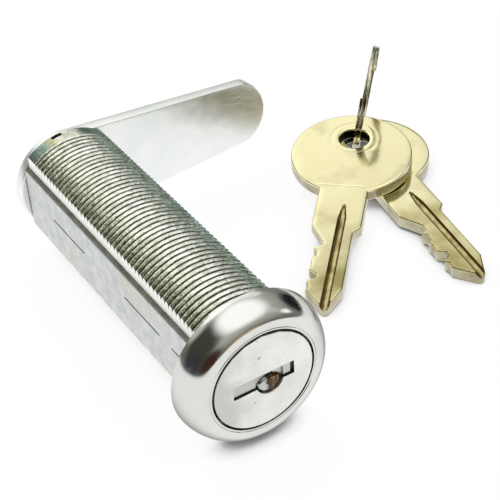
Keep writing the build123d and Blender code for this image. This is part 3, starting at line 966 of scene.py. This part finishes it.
def inward(outline, amount):
    """Closed outline moved inward along its own normals."""
    ahead = np.roll(outline[:-1], -1, axis=0) - np.roll(outline[:-1], 1, axis=0)
    normal = np.stack([ahead[:, 1], -ahead[:, 0]], axis=-1)
    normal /= np.linalg.norm(normal, axis=1)[:, None]
    moved = outline[:-1] - normal * amount
    return np.concatenate([moved, moved[:1]])


def cam():
    """Stamped arm: rounded front edge, slightly burred back edge, square hole at the hub."""
    outline = cam_outline()
    y0, y1 = cam_start, cam_start + cam_thickness
    hole = square_on_rays(outline, tail_half)
    eased = square_on_rays(outline, tail_half + cam_hole_bevel)
    flats = [hole * (1 - share) + inward(outline, cam_inset) * share for share in cam_shares]
    rows = [(hole, y0 + cam_hole_bevel), (eased, y0)] + [(flat, y0) for flat in flats]
    for turn in np.linspace(0, pi / 2, 5):
        rows.append((inward(outline, cam_front_round * (1 - sin(turn))),
                     y0 + cam_front_round * (1 - cos(turn))))
    for turn in np.linspace(0, pi / 2, 4):
        rows.append((inward(outline, cam_back_round * (1 - cos(turn))),
                     y1 - cam_back_round * (1 - sin(turn))))
    rows += [(flat, y1) for flat in flats[::-1]] + [(eased, y1), (hole, y1 - cam_hole_bevel)]
    points = np.array([stacked(flat[:, 0], y, flat[:, 1]) for flat, y in rows])
    faces = grid_faces(len(rows), len(outline), close=True)
    return make_piece("cam_arm", points, faces, [cam_zinc], sharp=28)


def screw_head():
    """Domed head with a cross recess: the height falls where either arm of the cross is.

    The crown falls with the cube of the radius, and a quarter circle rounds its edge.
    """
    flat_radius = screw_head_radius - screw_edge
    radius = np.concatenate([[0.001], np.linspace(0.12, flat_radius, 26),
                             flat_radius + screw_edge * np.sin(np.linspace(0.2, pi / 2, 6))])
    turn = np.linspace(0, 2 * pi, 121)
    x, z = radius[:, None] * np.cos(turn), radius[:, None] * np.sin(turn)
    crown = screw_head_height - screw_crown * (radius / screw_head_radius) ** 3
    edge = np.clip((radius - flat_radius) / screw_edge, 0, 1)
    crown = crown - screw_edge * (1 - np.sqrt(np.clip(1 - edge ** 2, 0, 1)))
    arm = cross_half - cross_taper * radius[:, None]

    def in_arm(across, along):
        """Share of the recess where one arm runs: 1 inside its sides and its ends, 0 outside."""
        sides = np.clip((arm - np.abs(across)) / cross_wall + 0.5, 0, 1)
        return sides * np.clip((cross_reach - np.abs(along)) / cross_end, 0, 1)

    in_cross = np.maximum(in_arm(x, z), in_arm(z, x))
    y = lock_washer_end + crown[:, None] - in_cross * (cross_depth - cross_rise * radius[:, None])
    rim = stacked(x[-1], lock_washer_end, z[-1])[None]
    points = np.concatenate([stacked(x, y, z), rim, rim * [0, 1, 0]])
    return make_piece("cam_screw_head", points, grid_faces(len(points), len(turn)), [washer_zinc], sharp=34)


def lock_washer():
    """Split spring washer: a square section with its outer corners eased, carried round the axis
    while it rises evenly, so that its two ends are parted."""
    start, end = lock_washer_turn
    turn = np.linspace(radians(start), radians(end), 90)
    offset = lock_washer_rise * (turn - turn.mean()) / pi
    y0, y1 = cam_start + cam_thickness + lock_washer_play, lock_washer_end - lock_washer_play
    inner, eased, outer = lock_washer_radii
    section = [(inner, y0), (eased, y0), (outer, y0 + lock_washer_bevel), (outer, y1 - lock_washer_bevel),
               (eased, y1), (inner, y1)]
    points = [stacked(r * np.cos(turn), y + offset, r * np.sin(turn)) for r, y in section]
    first = np.arange(len(section)) * len(turn)
    ends = first[np.array([[0, 1, 4, 5], [1, 2, 3, 4]])]
    faces = np.concatenate([grid_faces(len(section), len(turn), close=True), ends,
                            ends[:, ::-1] + len(turn) - 1])
    return make_piece("lock_washer_dressed", points, faces, [spring_steel])


# ---------------------------------------------------------------- keys


def key_edges():
    """Stations u along the key from the split line to the tip, and its lower and upper edge there.

    The edges are the bow's circle, then polylines through the neck, the cuts and the tip, whose
    corners are eased by a few hundredths.
    """
    neck_start = sqrt(bow_radius ** 2 - neck_half ** 2)
    half = cut_floor / 2
    edge = -blade_half

    def at(u, v, steps):
        """Corner at u and v eased by its steps."""
        return [(u + along, v + across) for along, across in steps]

    low = [(neck_start, -neck_half)] + at(shoulder_at, -neck_half, low_shoulder)
    for k, depth in enumerate(cut_depths):
        centre = cut_first + cut_pitch * k
        slope = min(depth - peak_depth, cut_pitch / 2 - half - cut_wall_room)
        if k:
            low += at(centre - half - slope, edge + peak_depth, cut_start)
        floor = at(-half, edge + depth, cut_floor_start)
        low += [(centre + u, v) for u, v in floor] + [(centre - u, v) for u, v in floor[::-1]]
        low += [(centre + half + slope - cut_start[1][0], edge + peak_depth + cut_start[1][1])]
    low += [(tip_at - back, groove_v - nose_half) for back, nose_half in tip_nose]
    high = [(neck_start, neck_half)] + at(shoulder_at, neck_half, high_shoulder)
    high += at(shoulder_at + neck_half - blade_half, blade_half, high_blade)
    high += at(tip_shoulder_at, blade_half, tip_shoulder)
    high += [(tip_at - back, groove_v + nose_half) for back, nose_half in tip_nose]
    low, high = np.array(low), np.array(high)
    regular = np.arange(neck_start + station_step, tip_at - 0.2, station_step)
    on_blade = np.unique(np.round(np.concatenate([low[:, 0], high[:, 0], regular]), 3))
    on_line = line_at + line_half * np.linspace(-1, 1, 5)
    on_bow = np.sort(np.concatenate([np.linspace(split_u, neck_start, 26)[:-1], on_line]))
    arc = np.sqrt(bow_radius ** 2 - on_bow ** 2)
    return (np.concatenate([on_bow, on_blade]),
            np.concatenate([-arc, np.interp(on_blade, low[:, 0], low[:, 1])]),
            np.concatenate([arc, np.interp(on_blade, high[:, 0], high[:, 1])]))


def edge_drop(distance, radius):
    """How far a rounded edge falls below the flat, a given distance in from the outline."""
    inside = np.clip(1 - distance / radius, 0, 1)
    return radius * (1 - np.sqrt(1 - inside ** 2))


def groove_share(u):
    """Share of its full width and depth that the milled groove has at u: it runs in to a point."""
    return np.clip((u - groove_start) / groove_run, 0, 1) ** groove_point


def groove_fall(u, v):
    """Depth of the groove: a hollow floor, as a parabola, between slanting walls."""
    share = groove_share(u)
    away = np.minimum(np.abs(v - groove_v) / (groove_radius * share + tiny), 1)
    wall = np.clip((1 - away) / (1 - groove_floor_half / groove_radius), 0, 1)
    return groove_depth * share * np.minimum(wall, 1 - groove_hollow * away ** 2)


def pressed(u, v):
    """Depth of the engraved line across the bow and of the pressed ring round the hole."""
    line = line_depth * np.clip(1 - np.abs(u - line_at) / line_half, 0, 1)
    line = line * np.clip((v - line_reach[0]) / line_run, 0, 1)
    line = line * np.clip((line_reach[1] - v) / line_run, 0, 1)
    from_hole = np.hypot(u + key_hole_offset, v)
    ring = lip_height * np.clip(1 - np.abs(from_hole - lip_radius) / lip_half, 0, 1)
    return line + ring


def key_strip():
    """Grid over the key from the split line to the tip: u and v, and the distance to the edge.

    The rows run from the lower to the upper edge at fixed insets near the edges and through the
    groove, and are squeezed together where the tip narrows.
    """
    u, low, high = key_edges()
    floor_share = groove_floor_half / groove_radius
    steps = np.array([1.06, 1.0, 0.9, 0.78, floor_share, 0.5, 0.25])
    groove_rows = groove_v + groove_radius * np.concatenate([-steps, [0], steps[::-1]])
    width = high - low
    squeeze = np.minimum(1, width * 0.12 / edge_insets[-1])
    insets = edge_insets[:, None] * squeeze
    inner_low, inner_high = low + insets[-1], high - insets[-1]
    start = np.clip(groove_rows[0], inner_low + row_room, inner_high - 2 * row_room)
    end = np.clip(groove_rows[-1], inner_low + 2 * row_room, inner_high - row_room)
    between = np.linspace(0, 1, 6)[1:-1, None]
    through = ((groove_rows - groove_rows[0]) / (groove_rows[-1] - groove_rows[0]))[:, None]
    v = np.vstack([low + insets, inner_low + (start - inner_low) * between, start + (end - start) * through,
                   end + (inner_high - end) * between, high - insets[::-1]])
    return u + 0 * v, v, np.minimum(v - low, high - v)


def key_bow(split_v):
    """Grid from the hole's edge out to the bow's rim, and to the split line on the blade's side.

    Each column is a ray from the hole's centre; its end is the rim's circle or the split line.
    """
    from_split = np.arctan2(split_v, split_u + key_hole_offset)
    last = from_split[-1]
    around = np.linspace(last, 2 * pi - last, 121)[1:-1]
    turn = np.concatenate([from_split, around, from_split[:1] + 2 * pi])
    c, s = np.cos(turn), np.sin(turn)
    rim = key_hole_offset * c + np.sqrt(bow_radius ** 2 - (key_hole_offset * s) ** 2)
    line = np.where(c > tiny, (split_u + key_hole_offset) / np.maximum(c, tiny), rim)
    outer = np.minimum(rim, line)
    lip = lip_radius - key_hole_radius
    near = key_hole_radius + np.array([0, 0.04, 0.12, 0.25, 0.6, lip - lip_half, lip - lip_half / 2, lip,
                                       lip + lip_half / 2, lip + lip_half])
    rest = np.linspace(0, 1, 9)[1:, None]
    reach = np.vstack([near[:, None] + 0 * outer, near[-1] + (outer - edge_insets[-1] - near[-1]) * rest,
                       outer - edge_insets[-2::-1, None]])
    u, v = reach * c - key_hole_offset, reach * s
    return u, v, np.minimum(bow_radius - np.hypot(u, v), reach - key_hole_radius)


def key_piece(name, centre, heading, slope):
    """Key from its strip and bow grids, mirrored to a flat underside, and laid on the floor.

    The height is the thickness less edge_drop, groove_fall and pressed at each grid point.
    """
    strip_u, strip_v, strip_edge = key_strip()
    bow_u, bow_v, bow_edge = key_bow(strip_v[:, 0])
    on_face, on_groove, on_wall, on_side, in_hole = range(5)
    floor_least = least_floor - groove_hollow * (groove_floor_half / groove_radius) ** 2
    points, faces, finishes, count = [], [], [], 0
    for u, v, distance in ((strip_u, strip_v, strip_edge), (bow_u, bow_v, bow_edge)):
        distance = np.clip(distance, 0, None)
        fall = groove_fall(u, v)
        top = key_thickness - edge_drop(distance, edge_round) - fall - pressed(u, v)
        bottom = edge_drop(distance, under_round)
        rows, columns = u.shape
        size = rows * columns
        quads = grid_faces(rows, columns)
        points += [stacked(u, v, height).reshape(-1, 3) for height in (top, bottom)]
        faces += [quads + count, quads[:, ::-1] + count + size]
        corner_fall = fall.ravel()[quads]
        floor_fall = (floor_least * groove_depth * groove_share(u)).ravel()[quads]
        cut = corner_fall.max(axis=1) > least_cut
        on_floor = (corner_fall > floor_fall).all(axis=1)
        # Painted shade in the groove: the floor takes groove_metal, and the walls and the floor's -v side,
        # where shade falls, take the darker groove_wall.
        shaded_side = v.ravel()[quads].mean(axis=1) < groove_v - groove_shade
        finish = np.where(cut, np.where(on_floor & ~shaded_side, on_groove, on_wall), on_face)
        finishes += [finish, 0 * finish]
        index = np.arange(size).reshape(rows, columns)
        if u is strip_u:
            ends = [index[0, :], index[-1, ::-1], index[::-1, -1]]
        else:
            ends = [index[0, ::-1], index[-1, len(strip_v) - 1:]]
        for line in ends:
            wall = np.stack([line[:-1], line[1:], line[1:] + size, line[:-1] + size], axis=-1)[:, ::-1]
            faces.append(wall + count)
            # The hole's wall takes the near-black painted shade, and the other walls key_side with its
            # painted shade.
            finishes.append(np.full(len(wall), in_hole if u is bow_u and line is ends[0] else on_side))
        count += 2 * size
    rotation = Matrix.Rotation(radians(heading), 3, "Z") @ Matrix.Rotation(atan(slope), 3, "Y")
    placed = np.concatenate(points) @ np.array(rotation).T + [centre[0], centre[1], floor_z + slope * tip_at]
    return make_piece(name, placed, np.concatenate(faces),
                      [key_metal, groove_metal, groove_wall, key_side, black_painted_shade], np.concatenate(finishes),
                      sharp=32)


# ---------------------------------------------------------------- split ring


def wire(name, path, out, side, section, material):
    """Wire with the given section carried along a path; out and side are unit vectors at each point."""
    across, along = np.asarray(section).T[:, None, :, None]
    ring = path[:, None, :] + across * out[:, None, :] + along * side[:, None, :]
    rows, columns = ring.shape[:2]
    closed = np.concatenate([ring, ring[:, :1]], axis=1)
    start = np.repeat(path[:1], columns + 1, axis=0)[None]
    end = np.repeat(path[-1:], columns + 1, axis=0)[None]
    points = np.concatenate([start, closed, end])
    return make_piece(name, points, grid_faces(rows + 2, columns + 1), [material], sharp=40)


def rounded_section(half_a, half_b, radius):
    """Rectangle with rounded corners as points around its middle."""
    points = []
    for ca, cb, start in ((1, 1, 0), (-1, 1, 90), (-1, -1, 180), (1, -1, 270)):
        centre = (ca * (half_a - radius), cb * (half_b - radius))
        points += round_corner(centre, radius, start, start + 90, 4)
    return points


def ring():
    """Flat-wire ring of nearly two turns; the wire steps sideways by its own width once a turn."""
    side = np.array([sin(radians(ring_heading)), -cos(radians(ring_heading)), 0])
    flat = np.array([cos(radians(ring_heading)), sin(radians(ring_heading)), 0])
    lean = radians(ring_lean)
    up = np.array([0, 0, 1])
    rise = cos(lean) * up + sin(lean) * side
    axis = cos(lean) * side - sin(lean) * up
    foot = np.array([ring_foot[0], ring_foot[1], floor_z + ring_wire_height / 2 + ring_rest])
    centre = foot + ring_mean_radius * rise
    share = np.linspace(0, 1, ring_stations)
    turn = radians(ring_start_angle) + 2 * pi * ring_turns * share
    out = np.cos(turn)[:, None] * flat + np.sin(turn)[:, None] * rise
    offset = ring_pitch * ring_turns * (share - 0.5)
    path = centre + ring_mean_radius * out + offset[:, None] * axis
    section = rounded_section(ring_wire_height / 2, ring_wire_width / 2, ring_wire_round)
    return wire("split_ring_dressed", path, out, np.repeat(axis[None], len(out), 0), section, ring_steel)


# ---------------------------------------------------------------- build


def build_object():
    """Makes every visible piece and hands each to its body."""
    dress(barrel(), "housing", "zinc", "housing")
    dress(bezel(), "housing", "bezel_chrome", "bezel_ring")
    dress(face_cap(), "plug", "face_steel", "face_cap")
    dress(shutter_flap(), "shutter", "shutter_steel", "dust_shutter")
    dress(knuckle("shutter_knuckle_left", -shutter_half, -torsion_gap), "shutter", "shutter_steel")
    dress(knuckle("shutter_knuckle_right", torsion_gap, shutter_half), "shutter", "shutter_steel")
    dress(cam(), "plug", "cam_steel", "cam")
    dress(lock_washer(), "plug", "spring_steel", "lock_washer")
    dress(screw_head(), "plug", "cam_steel")

    contact = key_thickness + key_b_slope * (tip_at - key_b_contact) + stack_gap
    key_a_slope = contact / (tip_at - key_a_contact)
    upper = key_piece("key_a_dressed", key_a_centre, key_a_heading, key_a_slope)
    lower = key_piece("key_b_dressed", key_b_centre, key_b_heading, key_b_slope)
    dress(upper, "key_a", "key_nickel", "key_a")
    dress(lower, "key_b", "key_nickel", "key_b")
    dress(ring(), "ring", "spring_steel", "split_ring")

    finishes = {"plug": plug_zinc, "shutter_pin": spring_steel, "shutter_spring": spring_steel,
                "stop_washer": washer_zinc, "cam_screw": washer_zinc}
    for name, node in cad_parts.items():
        material = finishes.get(name)
        if material is None:
            material = spring_steel if name.startswith("wafer_spring") else brass
        if name.startswith("wafer") or name in finishes:
            node.data.materials.clear()
            node.data.materials.append(material)


# ---------------------------------------------------------------- stage


# Share of plain glow in the floor that the camera and the metals see, how bright the metals see it,
# and the even light's strength.
floor_white = 0.93
floor_in_metal = 0.97
ambient = 1.0

# The floor in metres: half its width, how far it lies below the object and how near a thing must
# be to shade it. The shade is the floor's grey by the open share of the sky over it.
floor_reach = 4.0
floor_gap = 0.00002
shade_reach = 0.0035
floor_colour = (0.92, 0.92, 0.91, 1)
floor_roughness = 0.6
floor_specular = 0.2
shade_stops = ((0.0, 0.01), (0.32, 0.20), (0.52, 0.80), (0.75, 0.97), (0.95, 1.0))

# Name, place and size in metres, and power of each lamp, and the point that both aim at.
lamps = (("key_lamp", (0.05, 0.42, 0.50), 0.30, 1.2), ("fill_lamp", (0.45, -0.25, 0.40), 0.25, 0.8))
lamp_target = (0.02, 0.02, 0)

# Grey of the room by the height of the direction, and soft round panels laid over it in this order:
# direction, reach and softness in degrees, and colour.
room_stops = ((0.02, (0.13, 0.14, 0.13)), (0.25, (0.16, 0.17, 0.14)), (0.50, (0.34, 0.34, 0.30)),
              (0.75, (0.46, 0.46, 0.42)))
room_panels = (((-0.80, 0.05, 0.60), 20, 22, (0.040, 0.045, 0.028)),
               ((-0.98, 0.00, 0.15), 10, 16, (0.034, 0.034, 0.042)),
               ((-0.70, -0.67, 0.18), 17, 12, (0.040, 0.012, 0.004)),
               ((0.22, -0.93, 0.29), 6, 14, (0.26, 0.22, 0.15)),
               ((0.10, -0.98, 0.03), 6, 14, (0.55, 0.41, 0.25)),
               ((-0.50, 0.68, 0.53), 8, 12, (0.55, 0.55, 0.48)),
               ((0.72, 0.69, 0.05), 9, 12, (0.24, 0.26, 0.25)),
               ((0.499, 0.595, 0.629), 6, 8, (0.90, 0.90, 0.85)),
               ((0.20, 0.79, 0.58), 12, 12, (1.08, 1.08, 1.04)),
               ((-0.12, 0.77, 0.63), 12, 12, (1.34, 1.34, 1.30)),
               ((0.12, -0.04, 0.99), 22, 20, (1.25, 1.25, 1.22)),
               ((0.71, -0.27, 0.65), 3, 7, (0.56, 0.56, 0.52)),
               ((0.955, 0.19, 0.16), 11, 9, (0.002, 0.002, 0.004)),
               ((0.87, -0.30, 0.38), 3, 6, (1.15, 1.20, 1.15)))


def stage():
    """Pale floor, soft lamps and a white surrounding."""
    mesh = bpy.data.meshes.new("floor")
    z = floor_z * MM - floor_gap
    corners = [(x * floor_reach, y * floor_reach, z) for x, y in ((-1, -1), (1, -1), (1, 1), (-1, 1))]
    mesh.from_pydata(corners, [], [(0, 1, 2, 3)])
    floor = bpy.data.objects.new("floor", mesh)
    bpy.context.collection.objects.link(floor)
    material, tree, shader, add = node_tree("floor_white")
    shader.inputs["Base Color"].default_value = floor_colour
    shader.inputs["Roughness"].default_value = floor_roughness
    shader.inputs["Specular IOR Level"].default_value = floor_specular
    path = add("ShaderNodeLightPath").outputs
    seen = combined(add, path["Is Camera Ray"], path["Is Glossy Ray"], "MAXIMUM")
    open_sky = add("ShaderNodeAmbientOcclusion", {"Distance": shade_reach}).outputs["AO"]
    tone = mixed(add, path["Is Camera Ray"], (floor_in_metal,) * 3, ramp(add, open_sky, *shade_stops))
    glow = add("ShaderNodeEmission", {"Color": tone, "Strength": 1.0})
    mix = add("ShaderNodeMixShader", {0: combined(add, seen, floor_white), 1: shader.outputs[0],
                                      2: glow.outputs[0]})
    tree.links.new(mix.outputs[0], tree.nodes["Material Output"].inputs["Surface"])
    mesh.materials.append(material)
    surround()
    for values in lamps:
        lamp(*values)


def surround():
    """World: white to the camera, an even light, and for reflections a dim room with soft panels.

    The room's grey rises with the height of the direction. A panel's share is 1 within its reach of
    its own direction and falls smoothly to 0 over its softness.
    """
    world = bpy.data.worlds.new("surround")
    world.use_nodes = True
    bpy.context.scene.world = world
    tree = world.node_tree
    add = node_adder(tree)
    direction = add("ShaderNodeTexCoord").outputs["Generated"]
    room = ramp(add, coordinate(add, direction, "Z"), *room_stops)
    for towards, reach, soft, colour in room_panels:
        aim = tuple(Vector(towards).normalized())
        near = add("ShaderNodeVectorMath", {0: direction, 1: aim}, operation="DOT_PRODUCT").outputs["Value"]
        share = add("ShaderNodeMapRange", {0: near, 1: cos(radians(reach + soft)), 2: cos(radians(reach))},
                    interpolation_type="SMOOTHSTEP").outputs[0]
        room = mixed(add, share, room, colour)
    path = add("ShaderNodeLightPath").outputs
    reflected = mixed(add, path["Is Glossy Ray"], (ambient,) * 3, room)
    shown = mixed(add, path["Is Camera Ray"], reflected, plain)
    tree.links.new(shown, tree.nodes["Background"].inputs["Color"])


def lamp(name, place, size, power):
    """Square area lamp aimed at the target, in metres and watts."""
    data = bpy.data.lights.new(name, "AREA")
    data.size = size
    data.energy = power
    light = bpy.data.objects.new(name, data)
    bpy.context.collection.objects.link(light)
    light.location = place
    light.rotation_euler = (Vector(lamp_target) - Vector(place)).to_track_quat("-Z", "Y").to_euler()
    light.visible_glossy = False


place_camera()
build_object()
stage()
bpy.context.scene.view_settings.view_transform = "Standard"
